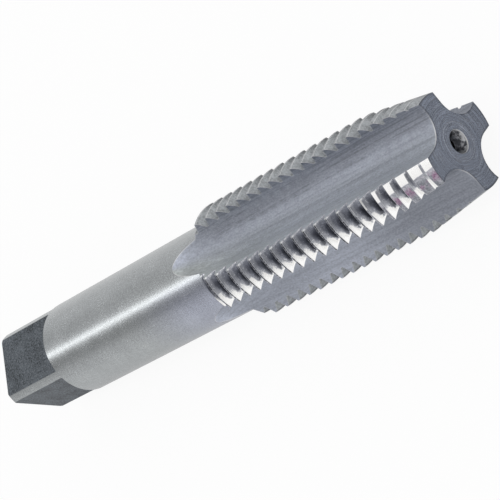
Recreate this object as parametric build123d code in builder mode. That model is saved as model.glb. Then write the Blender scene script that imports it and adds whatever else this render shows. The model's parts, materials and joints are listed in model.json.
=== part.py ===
from build123d import *
from math import acos, atan2, cos, degrees, hypot, radians, sin, tan
import os

# Four-flute hand tap for a right-hand 60 degree thread, 7/8 inch with nine threads per inch.
# It is ground from one bar: threaded and fluted front, round shank, driving square.
# It lies on the crests of two neighbouring lands, with one flute facing down.
# The axis runs along X with the nose at +X, and the lowest crests touch Z = 0.

# Thread
thread_diameter = 22.225
inch = 25.4
threads_per_inch = 9
flank_angle = 30
crest_share = 0.125
root_share = 0.17
thread_length = 57.1
thread_end_angle = 45
thread_start_angle = 184

# Shank and driving square
overall_length = 119.06
shank_diameter = 17.70
square_width = 13.60
square_length = 15.88
square_end_break = 0.30

# Flutes: a round bottom of one radius, with a straight back that runs out to the next land
flute_count = 4
web_diameter = 10.0
flute_radius = 4.60
flute_opening = 59.8

# The grinding wheel leaves each flute in a rising curve, leaning towards the heel
wheel_radius = 60.0
wheel_start = 42.0
wheel_lean = 17.0

# Tapered start of the thread, relieved behind each cutting edge
chamfer_threads = 4
nose_diameter = 18.80
chamfer_relief = 0.42

# Centre holes in both ends
centre_rim_diameter = 4.20
centre_pilot_diameter = 2.00
centre_depth = 4.80
centre_angle = 60

# How far the cutting shapes and the comb of teeth reach past what is kept
overcut = 1.0
land_overcut = 16
spare_teeth = 2

pitch = inch / threads_per_inch
crest_radius = thread_diameter / 2
shank_radius = shank_diameter / 2
crest_width = pitch * crest_share
root_width = pitch * root_share
flank_width = (pitch - crest_width - root_width) / 2
root_radius = crest_radius - flank_width / tan(radians(flank_angle))

# In a flute's section, angles start at the direction of its round bottom's centre
flute_centre = web_diameter / 2 + flute_radius
edge_cosine = (crest_radius**2 + flute_centre**2 - flute_radius**2) / (2 * crest_radius * flute_centre)
cutting_edge = degrees(acos(edge_cosine))
heel = flute_opening - cutting_edge
land_width = 360 / flute_count - flute_opening

# The tap is cut about the X axis, with one flute's opening straight down
nose = Plane(origin=(overall_length / 2, 0, 0), x_dir=(0, 1, 0), z_dir=(1, 0, 0))
square_end = Plane(origin=(-overall_length / 2, 0, 0), x_dir=(0, 1, 0), z_dir=(-1, 0, 0))
tap_axis = Axis(nose.origin, nose.z_dir)
lowest_flute = 270 - flute_opening / 2 + cutting_edge


def crosswise(angle, behind_nose=0):
    """A section plane, its x turned about the axis by an angle that starts at +Y."""
    centre = nose.origin - nose.z_dir * behind_nose
    return Plane(origin=centre, x_dir=(0, cos(radians(angle)), sin(radians(angle))), z_dir=nose.z_dir)


def lengthwise(angle, centre=nose.origin):
    """A plane along the axis: x points to the nose, y outward at an angle that starts at +Y."""
    return Plane(origin=centre, x_dir=nose.z_dir, z_dir=(0, -sin(radians(angle)), cos(radians(angle))))


# One flute: its section is carried straight from beyond the nose to where the wheel rises,
# and from there up the wheel's curve, until it has left the shank.
heel_x = crest_radius * cos(radians(heel))
heel_y = crest_radius * sin(radians(heel))
heel_reach = hypot(flute_centre - heel_x, heel_y)
back_slope = atan2(heel_y, heel_x - flute_centre) + acos(flute_radius / heel_reach)
back_foot = (flute_centre + flute_radius * cos(back_slope), flute_radius * sin(back_slope))
outside = flute_centre + flute_radius
back_stretch = outside / heel_reach
back_end = (
    back_foot[0] + (heel_x - back_foot[0]) * (1 + back_stretch),
    back_foot[1] + (heel_y - back_foot[1]) * (1 + back_stretch),
)

# The rise is a curve of the wheel's radius. Its last point is clear of the crests.
leaning = crosswise(lowest_flute + wheel_lean)
flute_section = crosswise(lowest_flute, wheel_start)
rise_start = flute_section.from_local_coords((flute_centre, 0, 0))
rise_radius = wheel_radius - flute_radius
rise_needed = (crest_radius + overcut - web_diameter / 2) / cos(radians(wheel_lean))
rise_angle = acos(1 - rise_needed / wheel_radius)
wheel_plane = Plane(
    origin=rise_start + leaning.x_dir * rise_radius, x_dir=-leaning.x_dir, z_dir=-leaning.y_dir
)

with BuildPart() as flute:
    with BuildSketch(flute_section) as section:
        with Locations((flute_centre, 0)):
            Circle(flute_radius)
        with BuildLine():
            Polyline((flute_centre, 0), back_foot, back_end, (outside, 0), close=True)
        make_face()
    extrude(amount=wheel_start + overcut)
    with BuildLine(wheel_plane) as rise:
        Bezier(
            (rise_radius, 0),
            (rise_radius, rise_radius * tan(rise_angle / 2)),
            (rise_radius * cos(rise_angle), rise_radius * sin(rise_angle)),
        )
    sweep(section.sketch, path=rise.line)

# One land's share of the tapered start. Its cone is turned about an axis shifted towards the
# cutting edge, so that the crests fall away from that edge to the heel.
chamfer_length = chamfer_threads * pitch
chamfer_slope = (thread_diameter - nose_diameter) / 2 / chamfer_length
chamfer_reach = chamfer_length + chamfer_relief / chamfer_slope + overcut
chamfer_radius = (nose_diameter - chamfer_relief) / 2
relief_shift = chamfer_relief / 2 / sin(radians(land_width / 2))
land_middle = lowest_flute - cutting_edge - land_width / 2
relief_centre = nose.origin + crosswise(land_middle).y_dir * relief_shift
ring_outside = crest_radius + relief_shift + overcut

with BuildPart() as chamfer_ring:
    with BuildSketch(lengthwise(land_middle - land_width, relief_centre)) as ring:
        with BuildLine():
            Polyline(
                (overcut, chamfer_radius - chamfer_slope * overcut),
                (overcut, ring_outside),
                (-chamfer_reach, ring_outside),
                (-chamfer_reach, chamfer_radius + chamfer_slope * chamfer_reach),
                close=True,
            )
        make_face()
    revolve(axis=Axis(relief_centre, nose.z_dir), revolution_arc=2 * land_width)

# The teeth of a land stand in a row like a comb. The comb's outline is carried round the land
# along the thread's helix, a little past both of the land's sides.
comb_angle = land_middle - land_width / 2 - land_overcut
comb_arc = land_width + 2 * land_overcut
comb_floor = shank_radius - overcut
first_crest = pitch * (spare_teeth - (thread_start_angle - comb_angle) % 360 / 360)
tooth_count = int(thread_length / pitch) + 2 * spare_teeth
comb_outline = [(first_crest, comb_floor)]
for tooth in range(tooth_count):
    crest = first_crest - tooth * pitch
    comb_outline.append((crest + crest_width / 2, crest_radius))
    comb_outline.append((crest - crest_width / 2, crest_radius))
    comb_outline.append((crest - crest_width / 2 - flank_width, root_radius))
    comb_outline.append((crest + crest_width / 2 + flank_width - pitch, root_radius))
comb_outline.append((first_crest - tooth_count * pitch, comb_floor))
climb = Helix(pitch=pitch, height=pitch * comb_arc / 360, radius=crest_radius)
climb = crosswise(comb_angle) * climb

with BuildPart() as comb:
    with BuildSketch(lengthwise(comb_angle)):
        with BuildLine():
            Polyline(comb_outline, close=True)
        make_face()
    sweep(path=climb, is_frenet=True)

with BuildPart() as ground_bar:
    # Along the thread, each land lies a share of the pitch nearer the nose than the last
    for land in range(flute_count):
        turn = 360 / flute_count * land
        add(comb.part.rotate(tap_axis, turn).moved(Location(nose.z_dir * (pitch * turn / 360))))

    # The thread is cut square at the nose and bevelled where it ends on the shank
    bevel = (crest_radius + overcut - shank_radius) / tan(radians(thread_end_angle))
    with BuildSketch(lengthwise(0)) as blank:
        with BuildLine():
            Polyline(
                (0, 0),
                (0, crest_radius + overcut),
                (bevel - thread_length, crest_radius + overcut),
                (-thread_length, shank_radius),
                (-thread_length, 0),
                close=True,
            )
        make_face()
    revolve(axis=tap_axis, mode=Mode.INTERSECT)

    # Round bar through the whole length, with the square milled on its end
    with BuildSketch(nose) as bar:
        Circle(shank_radius)
    extrude(amount=-overall_length)
    chamfer(faces().sort_by(Axis.X)[0].edges(), square_end_break)
    with BuildSketch(square_end) as flats:
        Circle(shank_radius + overcut)
        Rectangle(square_width, square_width, mode=Mode.SUBTRACT)
    extrude(amount=-square_length, mode=Mode.SUBTRACT)

    for land in range(flute_count):
        add(flute.part.rotate(tap_axis, land * 360 / flute_count), mode=Mode.SUBTRACT)
        add(chamfer_ring.part.rotate(tap_axis, land * 360 / flute_count), mode=Mode.SUBTRACT)

    with Locations(nose, square_end):
        CounterSinkHole(
            radius=centre_pilot_diameter / 2,
            counter_sink_radius=centre_rim_diameter / 2,
            depth=centre_depth,
            counter_sink_angle=centre_angle,
        )

# The lowest crests lie on the surface at Z = 0
with BuildPart() as tap:
    with Locations((0, 0, -ground_bar.part.bounding_box().min.Z)):
        add(ground_bar.part)

tap.part.label = "tap"
os.makedirs("parts", exist_ok=True)
export_step(tap.part, "parts/tap.step")
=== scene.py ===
import json

import bpy
import numpy as np
from mathutils import Matrix, Vector


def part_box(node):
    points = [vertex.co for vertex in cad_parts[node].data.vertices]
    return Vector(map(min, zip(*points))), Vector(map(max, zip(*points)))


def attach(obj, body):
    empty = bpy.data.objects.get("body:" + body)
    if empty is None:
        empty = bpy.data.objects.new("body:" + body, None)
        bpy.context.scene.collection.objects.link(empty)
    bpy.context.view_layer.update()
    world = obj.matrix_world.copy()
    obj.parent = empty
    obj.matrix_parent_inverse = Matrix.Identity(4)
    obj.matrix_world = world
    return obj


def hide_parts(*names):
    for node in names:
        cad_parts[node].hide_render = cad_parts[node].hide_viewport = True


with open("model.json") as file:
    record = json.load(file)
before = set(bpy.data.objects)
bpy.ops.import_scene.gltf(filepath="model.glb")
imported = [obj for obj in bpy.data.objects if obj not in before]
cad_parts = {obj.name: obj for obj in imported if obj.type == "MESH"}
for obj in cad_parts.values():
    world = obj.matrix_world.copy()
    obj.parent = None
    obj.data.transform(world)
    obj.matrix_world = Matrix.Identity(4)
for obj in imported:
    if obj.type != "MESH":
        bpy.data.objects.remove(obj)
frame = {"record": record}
bpy.context.view_layer.update()
print("stage: frame loaded")

# The tap is worked out in millimetres. In its own lengthwise count the nose is 0 and the square
# end is minus the length. Angles are in degrees about the axis, from +Y. The sizes are the
# part's, but the crests are a hundredth of a millimetre lower, to stay inside the part's box.
tapForm = {
    "length": 119.06,
    "pitch": 25.4 / 9,
    "crestRadius": 11.104,
    "flankAngle": 30.0,
    "crestShare": 0.125,
    "rootShare": 0.17,
    "threadLength": 57.1,
    "threadStartAngle": 184.0,
    "shankRadius": 8.85,
    "squareHalf": 6.8,
    "squareLength": 15.88,
    "squareEndBreak": 0.3,
    "webRadius": 5.0,
    "fluteRadius": 4.6,
    "fluteOpening": 59.8,
    "wheelRadius": 60.0,
    "wheelStart": 42.0,
    "wheelLean": 17.0,
    "chamferTeeth": 4,
    "noseRadius": 9.4,
    "chamferRelief": 0.42,
    "rimRadius": 2.1,
    "pilotRadius": 1.0,
    "centreDepth": 4.8,
    "centreHalfAngle": 30.0,
    "surfaceRows": {"root": 2, "flank": 5, "top": 2, "runOut": 44, "shank": 18, "square": 12, "break": 3,
                    "noseFace": 5, "cone": 6, "pilot": 4, "endFace": 6, "shoulder": 3},
    "surfaceColumns": {"land": 14, "fluteSide": 9, "flat": 11, "strip": 3},
    "edgeBand": 0.12,
    "outlineStart": -60.0,
    "outlinePast": 4.0,
    "outlinePoints": 1500,
    "longestTongue": 20.0,
}

# How often an interval is halved, how often a row's place is worked out again from its angle,
# and to how many decimals two points have to agree to be one
halvings = 40
threadRounds = 4
weldDecimals = 4

groupNames = ["crest", "flank", "root", "start", "bevel", "shank", "flute", "nose", "cone", "pilot",
              "shoulder", "flat", "strip", "endBreak", "endFace"]
groupOf = {name: place for place, name in enumerate(groupNames)}


def sizesOf(form):
    # Lengths and angles that follow from the settings, as the part's source works them out
    made = dict(form)
    made["crestWidth"] = form["pitch"] * form["crestShare"]
    made["rootWidth"] = form["pitch"] * form["rootShare"]
    made["flankWidth"] = (form["pitch"] - made["crestWidth"] - made["rootWidth"]) / 2
    made["flankSlope"] = 1 / np.tan(np.radians(form["flankAngle"]))
    made["fluteCentre"] = form["webRadius"] + form["fluteRadius"]
    far, near, wide = form["crestRadius"], made["fluteCentre"], form["fluteRadius"]
    made["cuttingEdge"] = np.degrees(np.arccos((far**2 + near**2 - wide**2) / (2 * far * near)))
    made["heel"] = form["fluteOpening"] - made["cuttingEdge"]
    made["landWidth"] = 90 - form["fluteOpening"]
    made["lowestFlute"] = 270 - form["fluteOpening"] / 2 + made["cuttingEdge"]
    heel = far * np.array([np.cos(np.radians(made["heel"])), np.sin(np.radians(made["heel"]))])
    fromCentre = heel - [near, 0]
    reach = np.hypot(*fromCentre)
    slope = np.arctan2(fromCentre[1], fromCentre[0]) + np.arccos(wide / reach)
    made["backFoot"] = np.array([near + wide * np.cos(slope), wide * np.sin(slope)])
    made["arcStart"] = np.radians(form["outlineStart"])
    made["arcLength"] = (made["arcStart"] - slope + 2 * np.pi) * wide
    backLength = np.hypot(*(heel - made["backFoot"]))
    made["backWay"] = (heel - made["backFoot"]) / backLength
    made["outlineLength"] = made["arcLength"] + backLength + form["outlinePast"]
    made["riseRadius"] = form["wheelRadius"] - wide
    chamferLength = form["chamferTeeth"] * form["pitch"]
    made["chamferSlope"] = (form["crestRadius"] - form["noseRadius"]) / chamferLength
    made["chamferRadius"] = form["noseRadius"] - form["chamferRelief"] / 2
    made["reliefShift"] = form["chamferRelief"] / 2 / np.sin(np.radians(made["landWidth"] / 2))
    return made


tap = sizesOf(tapForm)
axisHeight = frame["record"]["mounts"][0]["pos_m"][2] * 1000
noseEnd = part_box("tap")[1].x * 1000
threadEnd = noseEnd - tap["threadLength"]


def fluteAngle(number):
    # Direction of a flute's round bottom: the lowest flute's, plus a quarter turn for each next one
    return tap["lowestFlute"] + 90 * number


def landMiddle(number):
    # A land lies before the flute of its number: the flute's cutting edge less half the land
    return fluteAngle(number) - tap["cuttingEdge"] - tap["landWidth"] / 2


def fluteOutline(along):
    # A point of the flute's section at a distance along its outline: first the arc, then the
    # straight back. The first number is outward along the flute's direction, the second across.
    arcAngle = tap["arcStart"] - along / tap["fluteRadius"]
    past = along - tap["arcLength"]
    onArc = past < 0
    outward = np.where(
        onArc,
        tap["fluteCentre"] + tap["fluteRadius"] * np.cos(arcAngle),
        tap["backFoot"][0] + past * tap["backWay"][0],
    )
    across = np.where(
        onArc, tap["fluteRadius"] * np.sin(arcAngle), tap["backFoot"][1] + past * tap["backWay"][1]
    )
    return outward, across


def flutePoint(along, x):
    # The section stays as it is up to the wheel's start. Past it each point rises in the leaning
    # direction by d - sqrt(d^2 - t^2), d its distance from the wheel's spindle, t the way past.
    outward, across = fluteOutline(along)
    lean = np.radians(tap["wheelLean"])
    toward = (outward - tap["fluteCentre"]) * np.cos(lean) + across * np.sin(lean)
    distance = tap["riseRadius"] - toward
    past = np.maximum(0, -x - tap["wheelStart"])
    rise = distance - np.sqrt(np.maximum(distance**2 - past**2, 0))
    outward = outward + rise * np.cos(lean)
    across = across + rise * np.sin(lean)
    return np.hypot(outward, across), np.degrees(np.arctan2(across, outward))


def startRadius(x, angle, land):
    # The tapered start is a cone round a shifted centre: r = s sin(a) + sqrt(c^2 - s^2 cos^2(a)),
    # with s the shift, a the angle from the land's middle and c the cone's radius at x
    a = np.radians(angle - landMiddle(land))
    shift = tap["reliefShift"]
    cone = tap["chamferRadius"] - tap["chamferSlope"] * x
    return shift * np.sin(a) + np.sqrt(cone**2 - (shift * np.cos(a)) ** 2)


def bevelRadius(x):
    # The rear bevel rises from the shank by as much as x lies ahead of the thread's end
    return tap["shankRadius"] + x + tap["threadLength"]


def toothCentre(tooth, angle):
    # A crest's middle climbs towards the nose by one pitch a turn
    return tap["pitch"] * (tooth + (angle - tap["threadStartAngle"]) / 360)


def pastCrest(x, angle):
    # How far along the axis a place lies past the edge of the nearest crest, less than 0 on it
    turns = x / tap["pitch"] - (angle - tap["threadStartAngle"]) / 360
    return np.abs(turns - np.round(turns)) * tap["pitch"] - tap["crestWidth"] / 2


def threadRadius(past):
    # The crests' radius, less the way past a crest's edge times the flanks' slope
    return tap["crestRadius"] - np.clip(past, 0, tap["flankWidth"]) * tap["flankSlope"]


def landRadius(x, angle, land):
    # Least of the thread's profile, the tapered start and the rear bevel, and never under the shank
    body = np.minimum(threadRadius(pastCrest(x, angle)), bevelRadius(x))
    body = np.maximum(body, tap["shankRadius"])
    return np.minimum(body, startRadius(x, angle, land))


def limitRadius(x, angle, land):
    # The lower of the rear bevel and the tapered start
    return np.minimum(bevelRadius(x), startRadius(x, angle, land))


def halved(holds, low, high):
    # Narrows each stretch between low, where a test holds, and high, where it no longer does
    for _ in range(halvings):
        middle = (low + high) / 2
        here = holds(middle)
        low = np.where(here, middle, low)
        high = np.where(here, high, middle)
    return low, high


def topCorner(centre, angle, land, side):
    # How far from a tooth's middle its top ends: where the flank meets the start's cone or the
    # bevel, found by halving
    near = np.full(np.shape(centre), tap["crestWidth"] / 2)

    def isAbove(off):
        return threadRadius(off - near) > limitRadius(centre + side * off, angle, land)

    low, high = halved(isAbove, near, near + tap["flankWidth"])
    return (low + high) / 2


# Teeth are counted from the nose, with spare ones past both ends of the thread
firstTooth, lastTooth = -23, 1
rows = tap["surfaceRows"]
toothRows = rows["root"] + 2 * rows["flank"] + rows["top"]


def threadX(tooth, step, angle, land):
    # Lengthwise place of one row of a tooth: root, rear flank, top, front flank, root, with the
    # rows set exactly on the corners between them
    centre = toothCentre(tooth, angle)
    half = tap["crestWidth"] / 2 + tap["flankWidth"]
    rear = topCorner(centre, angle, land, -1)
    front = topCorner(centre, angle, land, 1)
    bevelEnd = tap["crestRadius"] - tap["shankRadius"] - tap["threadLength"] - centre
    middle = np.where((bevelEnd > -rear) & (bevelEnd < front), bevelEnd, (front - rear) / 2)
    marks = [-tap["pitch"] / 2, -half, -rear, middle, front, half, tap["pitch"] / 2]
    counts = [0, rows["root"] // 2, rows["flank"], rows["top"] // 2, rows["top"] // 2, rows["flank"],
              rows["root"] // 2]
    places = np.cumsum(counts)
    offset = np.zeros(np.shape(centre))
    for number in range(len(marks) - 1):
        share = (step - places[number]) / counts[number + 1]
        here = marks[number] + (marks[number + 1] - marks[number]) * share
        inside = (step >= places[number]) & (step <= places[number + 1])
        offset = np.where(inside, here, offset)
    return np.clip(centre + offset, -tap["threadLength"], 0)


def leastAlong(x):
    # Where along its outline the flute comes nearest the axis, at each x
    along = np.linspace(0, tap["outlineLength"], tap["outlinePoints"])
    radius, _ = flutePoint(along[None, :], x[:, None])
    return along[np.argmin(radius, axis=1)]


def lastOpen():
    # Where the rising flute leaves the shank, found by halving
    front = np.array([-tap["threadLength"]])

    def isClosed(x):
        radius, _ = flutePoint(leastAlong(x), x)
        return radius >= tap["shankRadius"]

    return halved(isClosed, front - tap["longestTongue"], front)[1][0]


# Rows from the shoulder forward, closer together on the tongue towards the thread's end
tongueEnd = lastOpen()
threadCount = (lastTooth - firstTooth + 1) * toothRows
rowNumber = np.arange(threadCount + 1)
rowTooth = np.minimum(firstTooth + rowNumber // toothRows, lastTooth)
rowStep = rowNumber - (rowTooth - firstTooth) * toothRows
fade = np.linspace(0, 1, rows["runOut"] + 1)[:-1]
runOutX = tongueEnd + (-tap["threadLength"] - tongueEnd) * fade**2
shoulderX = tap["squareLength"] - tap["length"]
shankX = shoulderX + (tongueEnd - shoulderX) * np.linspace(0, 1, rows["shank"] + 1)[:-1]
plainX = np.concatenate([shankX, runOutX])
plainCount = len(plainX)


def rowX(angle, land):
    # Lengthwise place of each row: plain ones across the axis, then the thread's climbing ones
    thread = threadX(rowTooth, rowStep, angle[plainCount:], land)
    return np.concatenate([plainX, thread])


def landEdge(flute, land, side):
    # One edge of a flute: the place along its outline where its radius equals the land's, found
    # by halving, with the row's x following the thread round to that angle
    middleAngle = np.full(plainCount + threadCount + 1, fluteAngle(flute))
    x = rowX(middleAngle, land)
    least = leastAlong(x)
    far = np.full(len(x), 0.0 if side < 0 else tap["outlineLength"])

    def seen(along):
        place = x
        for _ in range(threadRounds):
            radius, turn = flutePoint(along, place)
            angle = fluteAngle(flute) + turn
            place = rowX(angle, land)
        return place, radius, angle

    def isInside(along):
        place, radius, angle = seen(along)
        return radius < landRadius(place, angle, land)

    closed = ~isInside(least)
    inner, outer = halved(isInside, least, far)
    along = np.where(closed, least, (inner + outer) / 2)
    place, _, angle = seen(along)
    return {"along": along, "least": least, "x": place, "angle": angle, "closed": closed}


cutEdges = [landEdge(number, number, -1) for number in range(4)]
heelEdges = [landEdge(number, number + 1, 1) for number in range(4)]
print("stage: edges found, tongue ends at", round(tongueEnd, 3))


def shares(width, count, band):
    # Column places between two edges: a narrow band beside each edge and even ones between
    narrow = np.minimum(band / np.maximum(width, 1e-9), 0.5 / count)[:, None]
    even = np.linspace(0, 1, count - 1)[None, :]
    ends = np.zeros((len(width), 1))
    return np.concatenate([ends, narrow + (1 - 2 * narrow) * even, ends + 1], axis=1)


def between(first, last, share):
    # From a column of first values to a column of last ones by a share of the way
    return first[:, None] + (last - first)[:, None] * share


def placed(x, radius, angle):
    # From the tap's own count to the frame: x from the nose end, the axis at its height
    a = np.radians(angle)
    x = np.broadcast_to(x, np.shape(a))
    return np.stack([noseEnd + x, radius * np.cos(a), axisHeight + radius * np.sin(a)], axis=-1)


def squareRing(radius):
    # The square's section: flats at the half width, corners on a circle of this radius. One
    # quarter is a flat and the corner strip after it.
    corner = np.degrees(np.arccos(tap["squareHalf"] / radius))
    flats, strips = tap["surfaceColumns"]["flat"], tap["surfaceColumns"]["strip"]
    wide = tap["squareHalf"] * np.tan(np.radians(corner))
    flat = np.linspace(-wide, wide, flats + 1)[:-1]
    strip = np.linspace(corner, 90 - corner, strips + 1)[:-1]
    angle = np.concatenate([np.degrees(np.arctan2(flat, tap["squareHalf"])), strip])
    reach = np.concatenate([np.hypot(flat, tap["squareHalf"]), np.full(strips, radius)])
    angles = np.concatenate([angle + 90 * quarter for quarter in range(4)])
    return angles, np.tile(reach, 4)


class SurfaceMaker:
    # Gathers grids of points into one mesh with its own corner normals and marks

    def __init__(self):
        self.points, self.corners, self.normals = [], [], []
        self.groups, self.marks, self.total = [], [], 0

    def add(self, grid, groups, **given):
        # Corner normals: straight out from the axis on round groups, elsewhere the sum of the
        # neighbouring faces' cross products within one group
        rowCount, columnCount = grid.shape[:2]
        groups = np.broadcast_to(groups, (rowCount - 1, columnCount - 1))
        face = np.cross(grid[1:, 1:] - grid[:-1, :-1], grid[1:, :-1] - grid[:-1, 1:])
        padded = np.zeros((rowCount + 1, columnCount + 1, 3))
        padded[1:-1, 1:-1] = face
        label = np.full((rowCount + 1, columnCount + 1), -1)
        label[1:-1, 1:-1] = groups
        outward = grid * [0, 1, 1] - [0, 0, axisHeight]
        isRound = np.isin(groups, [groupOf[name] for name in roundGroups])[..., None]
        numbers = self.total + np.arange(rowCount * columnCount).reshape(rowCount, columnCount)

        def part(values, down, right):
            # A value for each face, from the grid moved by this many rows and columns
            return values[down : down + rowCount - 1, right : right + columnCount - 1]

        corners, normals = [], []
        for down, right in ((0, 0), (0, 1), (1, 1), (1, 0)):
            total = np.zeros_like(face)
            for rowStart in (down, down + 1):
                for columnStart in (right, right + 1):
                    same = part(label, rowStart, columnStart) == groups
                    total += part(padded, rowStart, columnStart) * same[..., None]
            normals.append(np.where(isRound, part(outward, down, right), total).reshape(-1, 3))
            corners.append(part(numbers, down, right).ravel())
        marks = np.full(grid.shape[:2] + (len(markNames),), farAway)
        for name, value in given.items():
            marks[..., markNames.index(name)] = value
        self.corners.append(np.stack(corners, axis=1))
        self.normals.append(np.stack(normals, axis=1))
        self.groups.append(groups.ravel())
        self.points.append(grid.reshape(-1, 3))
        self.marks.append(marks.reshape(rowCount * columnCount, -1))
        self.total += rowCount * columnCount

    def make(self, name):
        # Welds equal points, drops faces with no area, and makes a triangle of a face that has
        # two corners in one place
        gathered = (self.points, self.corners, self.normals, self.marks, self.groups)
        points, corners, normals, marks, groups = (np.concatenate(part) for part in gathered)
        rounded = np.round(points, weldDecimals)
        _, first, same = np.unique(rounded, axis=0, return_index=True, return_inverse=True)
        welded = same.ravel()[corners]
        keep = welded != np.roll(welded, 1, axis=1)
        crossed = (welded[:, 0] == welded[:, 2]) | (welded[:, 1] == welded[:, 3])
        used = (keep.sum(axis=1) >= 3) & ~crossed
        keep = keep[used]
        counts = keep.sum(axis=1)
        loops = welded[used][keep]
        loopMarks = marks[corners[used][keep]]
        loopNormals = normals[used][keep]
        length = np.linalg.norm(loopNormals, axis=1, keepdims=True)
        loopNormals = loopNormals / np.maximum(length, 1e-12)
        mesh = bpy.data.meshes.new(name)
        mesh.vertices.add(len(first))
        mesh.vertices.foreach_set("co", (points[first] * 0.001).ravel())
        mesh.loops.add(len(loops))
        mesh.loops.foreach_set("vertex_index", loops)
        mesh.polygons.add(len(counts))
        mesh.polygons.foreach_set("loop_start", np.cumsum(counts) - counts)
        mesh.update(calc_edges=True)
        for number, markName in enumerate(markNames):
            layer = mesh.attributes.new(markName, "FLOAT", "CORNER")
            layer.data.foreach_set("value", loopMarks[:, number].astype(np.float32))
        mesh.polygons.foreach_set("use_smooth", np.ones(len(counts), dtype=bool))
        mesh.normals_split_custom_set(loopNormals)
        return mesh, groups[used]


roundGroups = ["crest", "root", "shank", "strip"]
markNames = ["fromCrest", "fromCut", "fromHeel", "across", "land"]
farAway = 9.0
surface = SurfaceMaker()
landColumns = tap["surfaceColumns"]["land"]
sideColumns = tap["surfaceColumns"]["fluteSide"]
rowCount = plainCount + threadCount + 1

for flute in range(4):
    # Behind the tongue's tip both of its edges stay in one place
    cut, heel = cutEdges[flute], heelEdges[flute]
    closed = cut["closed"] | heel["closed"]
    tip = np.flatnonzero(~closed)[0]
    tipAngle = (cut["angle"][tip] + heel["angle"][tip]) / 2
    for edge in (cut, heel):
        edge["closed"] = closed
        edge["angle"] = np.where(closed, tipAngle, edge["angle"])

# A turn on, each row of the thread meets the row one tooth further back
turnedRow = np.arange(rowCount)
turnedRow[plainCount:] = np.maximum(turnedRow[plainCount:] - toothRows, plainCount)
firstStart = {name: values[turnedRow] for name, values in heelEdges[3].items()}
firstStart["angle"] = firstStart["angle"] - 360
landStarts = [firstStart] + heelEdges[:3]

# Along the shank the columns drift from the flutes' tips to the square's corners
squareAngle, _ = squareRing(tap["shankRadius"])
squareStart = np.argmin(np.abs((squareAngle - firstStart["angle"][0] + 180) % 360 - 180))
squareTurn = (squareStart + np.arange(len(squareAngle) + 1)) % len(squareAngle)
toSquare = np.clip((tongueEnd - plainX) / (tongueEnd - shoulderX), 0, 1)
toSquare = (toSquare**2 * (3 - 2 * toSquare))[:, None]


def unwrapped(angles, start):
    # Angles of a ring as a rising row that begins near a given angle
    first = start + (angles[0] - start + 180) % 360 - 180
    return first + np.concatenate([[0], np.cumsum(np.diff(angles) % 360)])


squareTarget = unwrapped(squareAngle[squareTurn], firstStart["angle"][0])


def drifted(angle, column):
    # Angle plus (the square's angle for this column minus it) times the share of the way
    moved = angle.copy()
    moved[:plainCount] += (squareTarget[column] - angle[:plainCount]) * toSquare
    return moved


def landGroups(x, angle, land):
    # What each face belongs to, by which form gives its radius at its middle
    middleX = (x[:-1, :-1] + x[1:, 1:]) / 2
    middleAngle = (angle[:-1, :-1] + angle[1:, 1:]) / 2
    past = pastCrest(middleX, middleAngle)
    thread = threadRadius(past)
    start, bevel = startRadius(middleX, middleAngle, land), bevelRadius(middleX)
    groups = np.where(past <= 0, groupOf["crest"], groupOf["flank"])
    groups = np.where(past >= tap["flankWidth"], groupOf["root"], groups)
    groups = np.where(bevel < thread, groupOf["bevel"], groups)
    groups = np.where(bevel <= tap["shankRadius"], groupOf["shank"], groups)
    return np.where(start < np.minimum(thread, bevel), groupOf["start"], groups)


def landSurface(land):
    # One land: its columns lie between its two edges, its rows follow the thread. Distances in
    # millimetres from the crest's corner, the cutting edge and the heel are kept as marks.
    start, end = landStarts[land], cutEdges[land]
    bandAngle = np.degrees(tap["edgeBand"] / tap["shankRadius"])
    share = shares(end["angle"] - start["angle"], landColumns, bandAngle)
    angle = between(start["angle"], end["angle"], share)
    angle = drifted(angle, slice(land * landColumns, (land + 1) * landColumns + 1))
    x = np.stack([rowX(angle[:, column], land) for column in range(landColumns + 1)], axis=1)
    radius = landRadius(x, angle, land)
    x[:, 0], x[:, -1] = start["x"], end["x"]
    threadAngle = angle[plainCount:]
    centre = toothCentre(rowTooth[:, None], threadAngle)
    off = x[plainCount:] - centre
    rearCorner = topCorner(centre, threadAngle, land, -1)
    corner = np.where(off < 0, rearCorner, topCorner(centre, threadAngle, land, 1))
    fromCrest = np.full(angle.shape, farAway)
    fromCrest[plainCount:] = (np.abs(off) - corner) / np.sin(np.radians(tap["flankAngle"]))
    arc = np.radians(1) * radius
    isOpen = ~start["closed"][:, None]
    surface.add(
        placed(x, radius, angle),
        landGroups(x, angle, land),
        fromCrest=fromCrest,
        fromCut=np.where(isOpen, (end["angle"][:, None] - angle) * arc, farAway),
        fromHeel=np.where(isOpen, (angle - start["angle"][:, None]) * arc, farAway),
        across=share,
        land=land,
    )
    return {"radius": radius[-1], "angle": angle[-1], "share": share[-1]}


noseRows = [landSurface(land) for land in range(4)]
print("stage: lands gathered")


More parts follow.
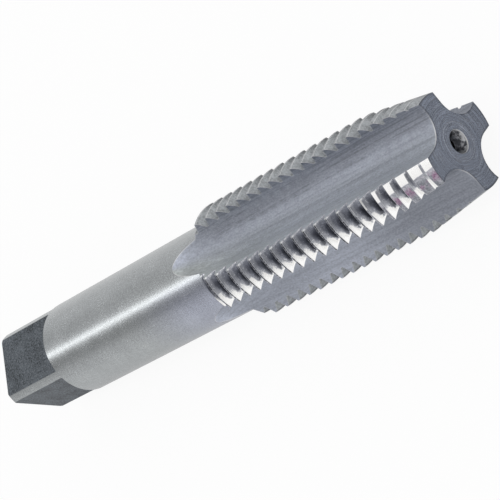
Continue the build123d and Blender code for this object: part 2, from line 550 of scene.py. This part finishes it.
def fluteSurface(flute):
    # One flute: its columns run from the cutting edge to its bottom and on to the heel, and its
    # first and last column take the lands' own places
    cut, heel = cutEdges[flute], heelEdges[flute]
    bottom = np.clip(cut["least"], cut["along"], heel["along"])
    toBottom = shares(bottom - cut["along"], sideColumns, tap["edgeBand"])
    toHeel = shares(heel["along"] - bottom, sideColumns, tap["edgeBand"])
    firstHalf = between(cut["along"], bottom, toBottom)
    secondHalf = between(bottom, heel["along"], toHeel)
    along = np.concatenate([firstHalf, secondHalf[:, 1:]], axis=1)
    whole = np.maximum(heel["along"] - cut["along"], 1e-9)[:, None]
    share = (along - cut["along"][:, None]) / whole
    x = between(cut["x"], heel["x"], share)
    radius, turn = flutePoint(along, x)
    angle = fluteAngle(flute) + turn
    for column, edge, land in ((0, cut, flute), (-1, heel, flute + 1)):
        angle[:, column] = edge["angle"]
        radius[:, column] = landRadius(edge["x"], edge["angle"], land)
    closed = cut["closed"]
    tipColumn = (flute + 1) * landColumns
    tipAngle = drifted(cut["angle"][:, None], slice(tipColumn, tipColumn + 1))
    angle[closed] = tipAngle[closed]
    radius[closed] = tap["shankRadius"]
    surface.add(
        placed(x, radius, angle),
        groupOf["flute"],
        fromCut=along - cut["along"][:, None],
        fromHeel=heel["along"][:, None] - along,
        across=share,
        land=flute,
    )
    return {"radius": radius[-1], "angle": angle[-1]}


noseSides = [fluteSurface(flute) for flute in range(4)]
print("stage: flutes gathered")


def nosePart(land):
    # One land's share of the nose face. Each row joins a point of the flute before the land to
    # the like point of the flute after it, and then the rows shrink to the hole's rim.
    before, after = noseSides[land - 1], noseSides[land]
    back = 360 if land == 0 else 0
    left = np.stack([before["radius"][::-1], before["angle"][::-1] - back])[:, : sideColumns + 1]
    right = np.stack([after["radius"], after["angle"]])[:, : sideColumns + 1]
    share = noseRows[land]["share"][None, :]
    radius, angle = between(left[0], right[0], share), between(left[1], right[1], share)
    radius[0], angle[0] = noseRows[land]["radius"], noseRows[land]["angle"]
    inward = np.linspace(1, 0, rows["noseFace"] + 1)[1:, None]
    rings = tap["rimRadius"] + (radius[-1] - tap["rimRadius"]) * inward
    top = noseRows[land]["radius"][None, :]
    radius = np.concatenate([radius, rings])
    angle = np.concatenate([angle, np.repeat(angle[-1:], len(inward), axis=0)])
    arc = np.radians(1) * radius
    surface.add(
        placed(0.0, radius, angle),
        groupOf["nose"],
        fromCrest=top - radius,
        fromCut=(angle[:, -1:] - angle) * arc,
        fromHeel=(angle - angle[:, :1]) * arc,
        across=share,
        land=land,
    )
    return angle[-1]


noseAngles = np.concatenate([nosePart(land)[min(land, 1) :] for land in range(4)])


def centreHole(faceX, angles, inward):
    # From the rim down the cone and the pilot hole to its flat bottom. Inward is the way into
    # the metal along the axis.
    rim, pilot, bottom = tap["rimRadius"], tap["pilotRadius"], tap["centreDepth"]
    coneDepth = (rim - pilot) / np.tan(np.radians(tap["centreHalfAngle"]))
    down, straight = rows["cone"] + 1, rows["pilot"] + 1
    stretches = [
        ("cone", np.linspace(rim, pilot, down), np.linspace(0, coneDepth, down)),
        ("pilot", np.full(straight, pilot), np.linspace(coneDepth, bottom, straight)),
        ("pilot", np.array([pilot, 0.0]), np.full(2, bottom)),
    ]
    for name, radius, depth in stretches:
        x, radius = (faceX + inward * depth)[:, None], radius[:, None]
        grid = placed(x, radius, angles[None, :] + 0 * radius)
        fromRim = rim - radius
        if inward > 0:
            grid, fromRim = grid[::-1], fromRim[::-1]
        surface.add(grid, groupOf[name], fromCrest=fromRim)


def squareEnd():
    # Rows forward from the end face: its rings, the broken edge, the flats, and the shoulder
    breakX = np.linspace(0, tap["squareEndBreak"], rows["break"] + 1)
    squareX = np.linspace(tap["squareEndBreak"], tap["squareLength"], rows["square"] + 1)
    smallest = tap["shankRadius"] - tap["squareEndBreak"]

    def ring(radius):
        # The square's section from the column where the lands' columns begin
        angle, reach = squareRing(radius)
        return reach[squareTurn], unwrapped(angle[squareTurn], squareTarget[0])

    reach, angle = ring(smallest)
    inward = np.linspace(0, 1, rows["endFace"] + 1)[:, None]
    faceRadius = tap["rimRadius"] + (reach - tap["rimRadius"])[None, :] * inward
    surface.add(
        placed(-tap["length"], faceRadius, angle[None, :] + 0 * inward),
        groupOf["endFace"],
        fromCrest=reach[None, :] - faceRadius,
    )
    isStrip = (squareTurn[:-1] % (len(squareAngle) // 4)) >= tap["surfaceColumns"]["flat"]
    sides = np.where(isStrip, groupOf["strip"], groupOf["flat"])
    breaks = np.where(isStrip, groupOf["endBreak"], groupOf["flat"])
    broken = [ring(smallest + step) for step in breakX]
    straight = [ring(tap["shankRadius"]) for _ in squareX]
    for pairs, places, group in ((broken, breakX, breaks), (straight, squareX, sides)):
        radius = np.stack([pair[0] for pair in pairs])
        angles = np.stack([pair[1] for pair in pairs])
        surface.add(placed((places - tap["length"])[:, None], radius, angles), group[None, :])
    faceAngle = angle
    reach, angle = straight[-1]
    outward = np.linspace(0, 1, rows["shoulder"] + 1)[:, None]
    surface.add(
        placed(shoulderX, reach + (tap["shankRadius"] - reach) * outward, angle + 0 * outward),
        groupOf["shoulder"],
    )
    return faceAngle


endAngles = squareEnd()
centreHole(0.0, noseAngles, -1)
centreHole(-tap["length"], endAngles, 1)
tapMesh, tapGroups = surface.make("tapSurface")
tapPiece = bpy.data.objects.new("tap_steel", tapMesh)
bpy.context.scene.collection.objects.link(tapPiece)
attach(tapPiece, "root")
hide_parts("tap")
print("stage: tap surface made,", len(tapMesh.polygons), "faces")


class Shade:
    # A socket that can be worked with like a number or a vector

    def __init__(self, tree, socket):
        self.tree, self.socket = tree, socket

    def node(self, kind, inputs=(), output=0, **settings):
        # Settings come first, then the values or links of the inputs. Gives one output.
        made = self.tree.nodes.new(kind)
        for name, value in settings.items():
            setattr(made, name, value)
        for place, value in dict(inputs).items():
            if isinstance(value, Shade):
                self.tree.links.new(value.socket, made.inputs[place])
            else:
                made.inputs[place].default_value = value
        return Shade(self.tree, made.outputs[output])

    def math(self, operation, *values):
        return self.node("ShaderNodeMath", dict(enumerate(values)), operation=operation)

    def __add__(self, other):
        return self.math("ADD", self, other)

    def __sub__(self, other):
        return self.math("SUBTRACT", self, other)

    def __rsub__(self, other):
        return self.math("SUBTRACT", other, self)

    def __mul__(self, other):
        return self.math("MULTIPLY", self, other)

    __radd__, __rmul__ = __add__, __mul__

    def __truediv__(self, other):
        return self.math("DIVIDE", self, other)

    def __pow__(self, other):
        return self.math("POWER", self, other)

    def least(self, other):
        return self.math("MINIMUM", self, other)

    def most(self, other):
        return self.math("MAXIMUM", self, other)

    def band(self, low, high):
        # 0 below low, 1 above high, eased between
        inputs = {0: self, 1: low, 2: high, 3: 0.0, 4: 1.0}
        return self.node("ShaderNodeMapRange", inputs, interpolation_type="SMOOTHSTEP")

    def bell(self, middle, width):
        # exp(-((value - middle) / width)^2)
        return self.math("EXPONENT", ((self - middle) / width) ** 2 * -1)

    def mixNumber(self, first, second):
        # first where this is 0, second where it is 1
        return self.node("ShaderNodeMix", {0: self, 2: first, 3: second})

    def mixColour(self, first, second):
        inputs = {0: self, 6: first, 7: second}
        return self.node("ShaderNodeMix", inputs, 2, data_type="RGBA", clamp_factor=True)

    def timesColour(self, colour):
        return self.node("ShaderNodeVectorMath", {0: self, 1: colour}, operation="MULTIPLY")

    def split(self):
        made = self.node("ShaderNodeSeparateXYZ", {0: self})
        return [Shade(self.tree, output) for output in made.socket.node.outputs]

    def joined(self, x, y, z):
        return self.node("ShaderNodeCombineXYZ", {0: x, 1: y, 2: z})

    def noise(self, place, scale, detail, roughness):
        inputs = {"Vector": place, "Scale": scale, "Detail": detail, "Roughness": roughness}
        return self.node("ShaderNodeTexNoise", inputs)


def newMaterial(name):
    material = bpy.data.materials.new(name)
    material.use_nodes = True
    return material, Shade(material.node_tree, None)


def feed(material, name, value):
    # Sets one socket of the material's shader, by a link or a plain value
    socket = material.node_tree.nodes["Principled BSDF"].inputs[name]
    if isinstance(value, Shade):
        material.node_tree.links.new(value.socket, socket)
    else:
        socket.default_value = value


# Tones are linear colours. A finish ranges between its tone times the two numbers of its span,
# and its bump has a strength and a height in metres.
steelLook = {
    "shank": {"tone": (0.4, 0.418, 0.426), "span": (0.72, 1.28), "bump": (0.32, 0.00004)},
    "flute": {"tone": (0.3, 0.317, 0.362), "span": (0.76, 1.24), "bump": (0.35, 0.0001)},
    "tooth": {"tone": (0.345, 0.36, 0.374), "span": (0.74, 1.26), "bump": (0.25, 0.00006)},
    "nose": {"tone": (0.178, 0.197, 0.241), "span": (0.42, 1.6), "bump": (0.3, 0.00004)},
    "hole": {"tone": (0.12, 0.125, 0.14), "span": (0.5, 2.6), "bump": (0.3, 0.00005)},
    "square": {"tone": (0.122, 0.136, 0.152), "span": (0.2, 1.9), "bump": (0.4, 0.00006)},
    "honedTone": (1.0, 0.995, 0.985),
    # Light colour for scratches and wear, and for painted highlights on edges, rims and glints
    "wearAndHighlightTone": (0.8, 0.8, 0.8, 1.0),
    # Painted bluish reflection for the shank's lower side beside the thread
    "bluishReflectionTone": (0.97, 0.975, 1.12),
    "honedLand": 3,
    "lowLand": 0,
    "topFlute": 2,
    "lowFlute": 3,
}


def shades(name):
    # The darkest and the lightest colour of a finish
    tone = np.array(steelLook[name]["tone"])
    return [tuple(np.minimum(tone * share, 1.0)) + (1.0,) for share in steelLook[name]["span"]]


def finish(material, maker, name, colour, roughness, height):
    # Bare metal with a fine bump
    strength, distance = steelLook[name]["bump"]
    feed(material, "Base Color", colour)
    feed(material, "Metallic", 1.0)
    feed(material, "Roughness", roughness)
    inputs = {"Strength": strength, "Distance": distance, "Height": height}
    feed(material, "Normal", maker.node("ShaderNodeBump", inputs))
    return material


def tapPlaces(maker):
    # Object coordinates in millimetres, the two across counted from the axis
    x, y, z = maker.node("ShaderNodeTexCoord", output=3).split()
    return x * 1000.0, y * 1000.0, z * 1000.0 - axisHeight


def aboutAxis(maker, across, up):
    # How far from the axis, and the angle about it in radians
    return maker.math("SQRT", across * across + up * up), maker.math("ARCTAN2", up, across)


def mark(maker, name):
    # One of the mesh's own marks
    return maker.node("ShaderNodeAttribute", output=2, attribute_name=name)


def isOn(maker, name):
    # 1 on the land or flute with this name, 0 on the others
    return maker.math("COMPARE", mark(maker, "land"), steelLook[name], 0.1)


def shankSteel():
    # Ground all round: fine rings across the axis, a fine grain and a few faint long scratches.
    # Beside the thread its lower side has a painted bluish reflection and is a little shinier.
    material, maker = newMaterial("shank_steel")
    along, across, up = tapPlaces(maker)
    _, angle = aboutAxis(maker, across, up)
    girth = angle * tap["shankRadius"]
    rings = maker.noise(maker.joined(along * 9.0, girth * 0.35, 0.0), 1.0, 3.0, 0.7)
    grain = maker.noise(maker.joined(along, across, up), 4.5, 3.0, 0.75)
    broad = maker.noise(maker.joined(along, across, up), 0.22, 2.0, 0.5)
    scratch = maker.noise(maker.joined(along * 0.12, girth * 4.0, 0.0), 1.0, 1.0, 0.4).band(0.72, 0.8)
    tone = (rings * 0.25 + grain * 0.62 + broad * 0.13).band(0.32, 0.68).mixColour(*shades("shank"))
    nearThread = (along - threadEnd).band(-24.0, -4.0) * (1.0 - across.band(-5.5, -2.0))
    # Painted reflection: the lower side beside the thread is tinted bluish
    tone = nearThread.mixColour(tone, tone.timesColour(steelLook["bluishReflectionTone"]))
    colour = (scratch * 0.25).mixColour(tone, steelLook["wearAndHighlightTone"])
    rough = 0.16 - nearThread * 0.04 + grain * 0.12 + broad * 0.06
    return finish(material, maker, "shank", colour, rough, rings * 0.45 + grain * 0.55)


def fluteSteel():
    # Ground lengthwise: long fine lines under a fine grain, scored beside the cutting edge. Painted
    # shade makes it darkest beside the cutting edge, and painted light makes it paler on the upper
    # flute's heel side and towards the tongue's tip. The tongue on the shank and the flute's end at
    # the nose have a thin painted highlight rim.
    material, maker = newMaterial("flute_steel")
    along, across, up = tapPlaces(maker)
    fromNose, fromThread = along - noseEnd, along - threadEnd
    share = mark(maker, "across")
    upper, lower = isOn(maker, "topFlute"), isOn(maker, "lowFlute")
    onTongue = 1.0 - fromThread.band(-3.5, 4.0)
    fine = maker.noise(maker.joined(along * 0.08, across * 2.6, up * 2.6), 1.0, 1.0, 0.5)
    wide = maker.noise(maker.joined(along * 0.04, across * 1.2, up * 1.2), 1.0, 2.0, 0.6)
    lines = fine * 0.55 + wide * 0.45
    grain = maker.noise(maker.joined(along * 0.6, across, up), 3.8, 2.0, 0.6)
    broad = maker.noise(maker.joined(along * 0.3, across, up), 0.5, 2.0, 0.5)
    tone = (lines * 0.4 + grain * 0.52 + broad * 0.08).band(0.3, 0.7).mixColour(*shades("flute"))
    nearCut = 1.0 - (share + (broad - 0.5) * 0.2).band(0.22, 0.44)
    scored = fine.band(0.48, 0.62) * nearCut * (1.0 - onTongue)
    # Painted light and shade: paler on the upper flute's heel side, darker beside the cutting edge,
    # lighter and darker by place on the lower flute and near the upper flute's cut, lighter on the
    # tongue and at its tip
    paler = share.band(0.45, 0.66) * upper * (1.0 - onTongue) * 0.43
    paintedShadeNearCut = (1.0 - share.band(0.24, 0.5)) * (1.0 - onTongue) * 0.18
    paintedLightAtTip = 1.0 - fromThread.band(-5.5, -2.5)
    paintedLightAndShadeNearNose = lower * (fromNose.bell(-35.5, 10.0) * 0.18 - fromNose.band(-29.5, -13.5) * 0.26)
    paintedLightNearCut = upper * (1.0 - share.band(0.1, 0.22)) * fromNose.bell(-38.0, 16.0) * 0.12
    paintedLightAndShade = paler - paintedShadeNearCut + paintedLightNearCut + paintedLightAndShadeNearNose - scored * 0.3 + onTongue * 0.12 + paintedLightAtTip * 0.32 + 1.27
    greyer = 1.0 - share.band(0.3, 0.8) * upper * (0.12 - fromNose.band(-60.0, -30.0) * 0.06)
    tone = tone.timesColour(maker.joined(paintedLightAndShade, paintedLightAndShade, paintedLightAndShade * greyer))
    # Painted highlight: a thin light rim along the flute's edges, stronger on the tongue, and at the
    # flute's end at the nose
    rim = 1.0 - mark(maker, "fromCut").least(mark(maker, "fromHeel")).band(0.05, 0.22)
    paintedNoseRimHighlight = fromNose.band(-0.36, -0.16) * share.bell(0.55, 0.24) * (upper + lower * 0.6)
    paintedRimHighlight = (rim * (onTongue * 0.5 + 0.15)).most(paintedNoseRimHighlight * 0.8)
    colour = paintedRimHighlight.mixColour(tone, steelLook["wearAndHighlightTone"])
    return finish(material, maker, "flute", colour, 0.48 + grain * 0.16, lines * 0.3 + grain * 0.7)


def matteTeeth(maker, grain, patches):
    # Painted light makes the teeth paler from the heel to the cutting edge. The low land has painted
    # light at its heel as well, with a thin line of painted shade behind its crests.
    share, low = mark(maker, "across"), isOn(maker, "lowLand")
    tone = (grain * 0.65 + patches * 0.35).band(0.35, 0.65).mixColour(*shades("tooth"))
    # Painted shade: a thin dark line behind the low land's crests; painted light: paler towards the
    # cutting edge and at the low land's heel
    outline = low * mark(maker, "fromCrest").bell(0.2, 0.1) * 0.6
    paintedHeelLight = low * (1.0 - share.band(0.0, 0.5)) * 0.64
    level = share.band(0.0, 0.7) * 0.62 + paintedHeelLight - outline + 0.6
    return tone.timesColour(maker.joined(level, level, level))


def paintedFlankReflection(maker, along, angle, patches, specks):
    # How bright the flanks are, as a painted reflection with painted shade. They are bright behind the
    # cutting edge, up to a ragged border that lies further forward deep between the teeth. Behind it
    # they are dark, less so near the crest and towards the heel, with pale specks and streaks.
    fromCrest, share = mark(maker, "fromCrest"), mark(maker, "across")
    depth = fromCrest.least(2.0)
    ragged = (patches - 0.5) * 0.5
    border = share + ragged + (specks - 0.5) * 0.14 - depth.band(0.4, 1.4) * 0.32
    shallow = (1.0 - depth.band(0.2, 1.2)) * 0.16
    ramp = share.band(0.25, 0.6) * (1.0 - depth.band(0.8, 1.4)) * 0.2
    towardHeel = (1.0 - (share + ragged).band(0.0, 0.5)) * depth.band(0.2, 1.1) * 0.34
    streaks = maker.noise(maker.joined(along * 2.4, angle * 4.0, 7.0), 1.0, 2.0, 0.6).band(0.52, 0.68)
    pale = specks.band(0.58, 0.7) * 0.28 + streaks * 0.12
    nick = (1.0 - mark(maker, "fromHeel").band(0.12, 0.4)) * (1.0 - fromCrest.band(0.2, 0.55)) * 0.5
    return 1.0 - (1.0 - border.band(0.5, 0.66)) * (0.86 - shallow - ramp - towardHeel - pale - nick)


def paintedTopReflection(maker, fromNose, patches, specks):
    # How bright the crests are, as a painted reflection: on the tapered start white at the heel and
    # dull further on, on the full thread dull with pale specks
    share = mark(maker, "across") + (patches - 0.5) * 0.1
    mottled = specks.band(0.25, 0.75) * 0.24 + patches.band(0.35, 0.65) * 0.12
    mottled = mottled + share.bell(0.44, 0.08) * 0.14
    tapered = 1.0 - share.band(0.33, 0.37) * (0.84 - mottled)
    full = specks.band(0.45, 0.62) * 0.4 + (1.0 - mark(maker, "fromHeel").band(0.1, 0.35)) * 0.6 + 0.05
    return fromNose.band(-19.0, -15.0).mixNumber(full, tapered)


def honedTeeth(maker, along, angle, patches, specks):
    # The honed land's painted reflection: half-bright places are cooler, and the dull tops near the
    # nose have a painted purple reflection
    fromNose = along - noseEnd
    onTop = 1.0 - mark(maker, "fromCrest").band(-0.1, 0.0)
    flanks = paintedFlankReflection(maker, along, angle, patches, specks)
    level = onTop.mixNumber(flanks, paintedTopReflection(maker, fromNose, patches, specks))
    # Painted purple reflection on the dull tops near the nose
    paintedPurpleReflection = onTop * mark(maker, "across").bell(0.62, 0.16) * patches.band(0.42, 0.58)
    paintedPurpleReflection = paintedPurpleReflection * fromNose.band(-14.0, -9.0)
    cool = (1.0 - level) * level * 0.18
    red, green, blue = level - cool * 0.3 - paintedPurpleReflection * 0.02, level - paintedPurpleReflection * 0.15, level - paintedPurpleReflection * 0.09 + cool
    return maker.joined(red, green, blue).timesColour(steelLook["honedTone"])


def toothSteel():
    # Matte on three lands, honed on the fourth, both with painted light and shade. Edges and burrs at
    # the heel get painted highlights.
    material, maker = newMaterial("tooth_steel")
    along, across, up = tapPlaces(maker)
    _, angle = aboutAxis(maker, across, up)
    honed = isOn(maker, "honedLand")
    place = maker.joined(along, across, up)
    grain = maker.noise(place, 2.6, 3.0, 0.7)
    patches = maker.noise(place, 0.8, 3.0, 0.6)
    specks = maker.noise(place, 3.4, 2.0, 0.6)
    lines = maker.noise(maker.joined(along * 7.0, angle * 6.0, 0.0), 1.0, 2.0, 0.5)
    matte = matteTeeth(maker, grain, patches)
    tone = honed.mixColour(matte, honedTeeth(maker, along, angle, patches, specks))
    # Painted highlights along the crests' corners and cutting edges, and on burrs at the heel
    fromEdge = maker.math("ABSOLUTE", mark(maker, "fromCrest")).least(mark(maker, "fromCut"))
    nearEdge = 1.0 - (fromEdge + (specks - 0.5) * 0.16).band(0.03, 0.1)
    burr = (1.0 - mark(maker, "fromHeel").band(0.08, 0.3)) * specks.band(0.5, 0.6) * 0.5
    lit = (nearEdge * (0.65 - honed * 0.42)).most(burr)
    colour = lit.mixColour(tone, steelLook["wearAndHighlightTone"])
    rough = grain * 0.12 + 0.46 - honed * (0.44 - patches * 0.2) + nearEdge * honed * 0.12
    return finish(material, maker, "tooth", colour, rough, grain * 0.35 + lines * 0.25 + patches * 0.4)


def noseSteel():
    # Turned face: very fine rings about the axis, with painted highlights in short arcs on a few of
    # them and on two rings, a thin painted highlight along its edges and a painted shade border
    # behind that
    material, maker = newMaterial("nose_steel")
    along, across, up = tapPlaces(maker)
    radius, angle = aboutAxis(maker, across, up)
    rings = maker.noise(maker.joined(radius * 7.0, angle * 0.8, 0.0), 1.0, 2.0, 0.6)
    grain = maker.noise(maker.joined(along, across, up), 4.5, 3.0, 0.75)
    arcs = maker.noise(maker.joined(radius * 4.5, angle * 1.2, 3.0), 1.0, 2.0, 0.6).band(0.56, 0.68)
    ring = radius.bell(3.4, 0.07) + radius.bell(2.95, 0.05) * 0.6
    fromSide = mark(maker, "fromCut").least(mark(maker, "fromHeel"))
    fromFlute = fromSide + (tap["webRadius"] - radius).most(0.0)
    fromEdge = mark(maker, "fromCrest").least(fromFlute)
    # Painted shade: a darker border near the edges
    border = fromEdge.band(0.08, 0.5) * 0.4 + 0.6
    tone = (rings * 0.45 + grain * 0.55).band(0.32, 0.68).mixColour(*shades("nose"))
    tone = tone.timesColour(maker.joined(border, border, border))
    # Painted highlights: arcs, two rings and a thin line along the edges
    paintedGlints = arcs * 0.13 + ring * 0.18 * grain.band(0.35, 0.6) + (1.0 - fromEdge.band(0.01, 0.05)) * 0.15
    colour = paintedGlints.mixColour(tone, steelLook["wearAndHighlightTone"])
    return finish(material, maker, "nose", colour, 0.4 + grain * 0.12, rings * 0.5 + grain * 0.5)


def holeSteel():
    # Drilled, darkened with painted shade in the hole, blotchy, worn near its thin painted highlight rim
    material, maker = newMaterial("hole_steel")
    along, across, up = tapPlaces(maker)
    _, angle = aboutAxis(maker, across, up)
    fromRim = mark(maker, "fromCrest")
    blotch = maker.noise(maker.joined(along, across, up), 0.9, 3.0, 0.6)
    rings = maker.noise(maker.joined(along * 6.0, angle * 0.5, 0.0), 1.0, 2.0, 0.5)
    tone = (blotch * 0.8 + rings * 0.2).band(0.4, 0.68).mixColour(*shades("hole"))
    worn = (1.0 - fromRim.band(0.15, 0.9)) * blotch.band(0.42, 0.6) * 0.5
    # Painted highlight along the rim, with real wear near it
    edge = ((1.0 - fromRim.band(0.02, 0.16)) * 0.75).most(worn)
    colour = edge.mixColour(tone, steelLook["wearAndHighlightTone"])
    return finish(material, maker, "hole", colour, 0.35 + blotch * 0.2, rings)


def squareSteel():
    # Milled flats, dark and grainy
    material, maker = newMaterial("square_steel")
    along, across, up = tapPlaces(maker)
    grain = maker.noise(maker.joined(along, across, up), 2.8, 4.0, 0.8)
    mill = maker.noise(maker.joined(along * 4.0, across * 0.5, up * 0.5), 1.0, 2.0, 0.5)
    broad = maker.noise(maker.joined(along, across, up), 0.35, 2.0, 0.5)
    colour = (grain * 0.75 + mill * 0.1 + broad * 0.15).band(0.34, 0.68).mixColour(*shades("square"))
    return finish(material, maker, "square", colour, 0.45 + grain * 0.15, grain * 0.8 + mill * 0.2)


looks = [
    (shankSteel(), ["shank", "strip", "endBreak"]),
    (fluteSteel(), ["flute"]),
    (toothSteel(), ["crest", "flank", "root", "start", "bevel"]),
    (noseSteel(), ["nose", "endFace"]),
    (holeSteel(), ["cone", "pilot"]),
    (squareSteel(), ["flat", "shoulder"]),
]
lookOf = np.zeros(len(groupNames), dtype=np.int32)
for number, (material, names) in enumerate(looks):
    tapMesh.materials.append(material)
    lookOf[[groupOf[name] for name in names]] = number
tapMesh.polygons.foreach_set("material_index", lookOf[tapGroups])
print("stage: materials made")

# Angles are about the tap's length, from +Y. Places along it go from -1 behind the square to 1
# ahead of the nose, and heights from 0 at the floor to 1 overhead. A level of 1 is white.
studio = {
    "floorHalf": 3.0,
    "floorTone": (0.95, 0.95, 0.95, 1),
    "floorRoughness": 0.9,
    "floorLift": 0.92,
    "floorShine": 0.3,
    "aheadShine": 1.0,
    "aheadMetres": (0.05, 0.11),
    "worldLevel": 0.84,
    "lamp": {"angle": 100.8, "width": 5.6, "level": 2.75},
    "nearSide": {"angle": 128.0, "width": 22.0, "level": -0.42},
    "farSide": {"angle": 62.0, "width": 22.0, "level": -0.16},
    "fadePlaces": (-0.66, -0.48),
    "fadeShare": 0.65,
    "taperLamp": {"angle": 123.0, "width": 17.0, "level": 0.27},
    "taperPlace": -0.45,
    "taperSpread": 0.14,
    "frontPlaces": (0.5, 0.8),
    "frontHeights": (0.13, 0.34),
    "frontLevel": -0.2,
}


def makeFloor():
    # A sheet of paper. What the camera sees of it is partly plain white, so that it stays paler
    # than grey, and so is what the steel mirrors of it, most of all in front of the nose.
    half = studio["floorHalf"]
    corners = [(-half, -half, 0), (half, -half, 0), (half, half, 0), (-half, half, 0)]
    mesh = bpy.data.meshes.new("floor")
    mesh.from_pydata(corners, [], [(0, 1, 2, 3)])
    floor = bpy.data.objects.new("floor", mesh)
    bpy.context.scene.collection.objects.link(floor)
    material, maker = newMaterial("floor_paper")
    feed(material, "Base Color", studio["floorTone"])
    feed(material, "Roughness", studio["floorRoughness"])
    feed(material, "Specular IOR Level", 0.0)
    nodes = material.node_tree.nodes
    paper = Shade(maker.tree, nodes["Principled BSDF"].outputs[0])
    glow = maker.node("ShaderNodeEmission", {"Color": (1, 1, 1, 1), "Strength": 1.0})
    camera = maker.node("ShaderNodeLightPath", output=0)
    glossy = Shade(maker.tree, camera.socket.node.outputs[3])
    along = maker.node("ShaderNodeTexCoord", output=3).split()[0]
    shine = along.band(*studio["aheadMetres"]) * studio["aheadShine"] + studio["floorShine"]
    white = camera * studio["floorLift"] + glossy * shine
    mixed = maker.node("ShaderNodeMixShader", {0: white, 1: paper, 2: glow})
    maker.tree.links.new(mixed.socket, nodes["Material Output"].inputs["Surface"])
    mesh.materials.append(material)


def ribbon(angle, light):
    # A lamp or a darker side along the tap: its level times a bell of the angle
    return angle.bell(light["angle"], light["width"]) * light["level"]


def makeWorld():
    # Even studio light. Behind the tap's middle it holds one long lamp overhead along the tap
    # and two darker sides, which fade towards the front. A soft lamp further ahead is there for
    # the tapered start. In front of the nose it is darker just above the floor.
    world = bpy.data.worlds.new("studio")
    world.use_nodes = True
    bpy.context.scene.world = world
    maker = Shade(world.node_tree, None)
    x, y, z = maker.node("ShaderNodeTexCoord", output=0).split()
    angle = maker.math("ARCTAN2", z, y) * (180 / np.pi)
    sides = ribbon(angle, studio["nearSide"]) + ribbon(angle, studio["farSide"])
    pattern = ribbon(angle, studio["lamp"]) + sides
    behind = 1.0 - x.band(*studio["fadePlaces"]) * studio["fadeShare"]
    taper = ribbon(angle, studio["taperLamp"]) * x.bell(studio["taperPlace"], studio["taperSpread"])
    front = x.band(*studio["frontPlaces"]) * (1.0 - z.band(*studio["frontHeights"]))
    level = behind * pattern + taper + front * studio["frontLevel"] + studio["worldLevel"]
    background = world.node_tree.nodes["Background"]
    background.inputs["Color"].default_value = (1, 1, 1, 1)
    world.node_tree.links.new(level.socket, background.inputs["Strength"])


# The camera as it was fitted to the picture. Angles are in degrees, nose places in pixels from
# the picture's upper left corner, the nose's depth and the sensor in millimetres.
cameraFit = {
    "lensPixels": 2312.6,
    "imagePixels": 500,
    "sensor": 36.0,
    "noseAcross": 459.0,
    "noseDown": 141.4,
    "noseDepth": 367.39,
    "yaw": 28.48,
    "pitch": 44.025,
    "turn": -26.7,
    "clipMetres": (0.01, 20),
}


def makeCamera():
    # The tap's own directions as the camera sees them (right, down, forward): its length by yaw
    # and pitch, then Y and Z by the turn about it. The camera stands where the nose's centre
    # falls on its place in the picture.
    yaw, pitch, turn = (np.radians(cameraFit[name]) for name in ("yaw", "pitch", "turn"))
    length = np.array([np.cos(pitch) * np.cos(yaw), -np.cos(pitch) * np.sin(yaw), -np.sin(pitch)])
    toward = np.array([0, 0, -1.0]) + length[2] * length
    toward /= np.linalg.norm(toward)
    aside = np.cross(toward, length)
    yWay = np.cos(turn) * aside + np.sin(turn) * toward
    zWay = np.cos(turn) * toward - np.sin(turn) * aside
    seen = np.stack([length, yWay, zWay])
    lens, middle = cameraFit["lensPixels"], cameraFit["imagePixels"] / 2
    right, down = ((cameraFit[name] - middle) / lens for name in ("noseAcross", "noseDown"))
    noseSeen = np.array([right, down, 1]) * cameraFit["noseDepth"]
    place = np.array([noseEnd, 0, axisHeight]) - seen @ noseSeen
    camera = bpy.data.objects.new("camera", bpy.data.cameras.new("camera"))
    bpy.context.scene.collection.objects.link(camera)
    camera.data.sensor_width = cameraFit["sensor"]
    camera.data.lens = lens / cameraFit["imagePixels"] * cameraFit["sensor"]
    camera.data.clip_start, camera.data.clip_end = cameraFit["clipMetres"]
    ways = seen * [1, -1, -1]
    camera.matrix_world = Matrix.Translation(Vector(place * 0.001)) @ Matrix(ways.tolist()).to_4x4()
    bpy.context.scene.camera = camera


makeFloor()
makeWorld()
makeCamera()
bpy.context.scene.view_settings.view_transform = "Standard"
print("stage: floor, light and camera made")
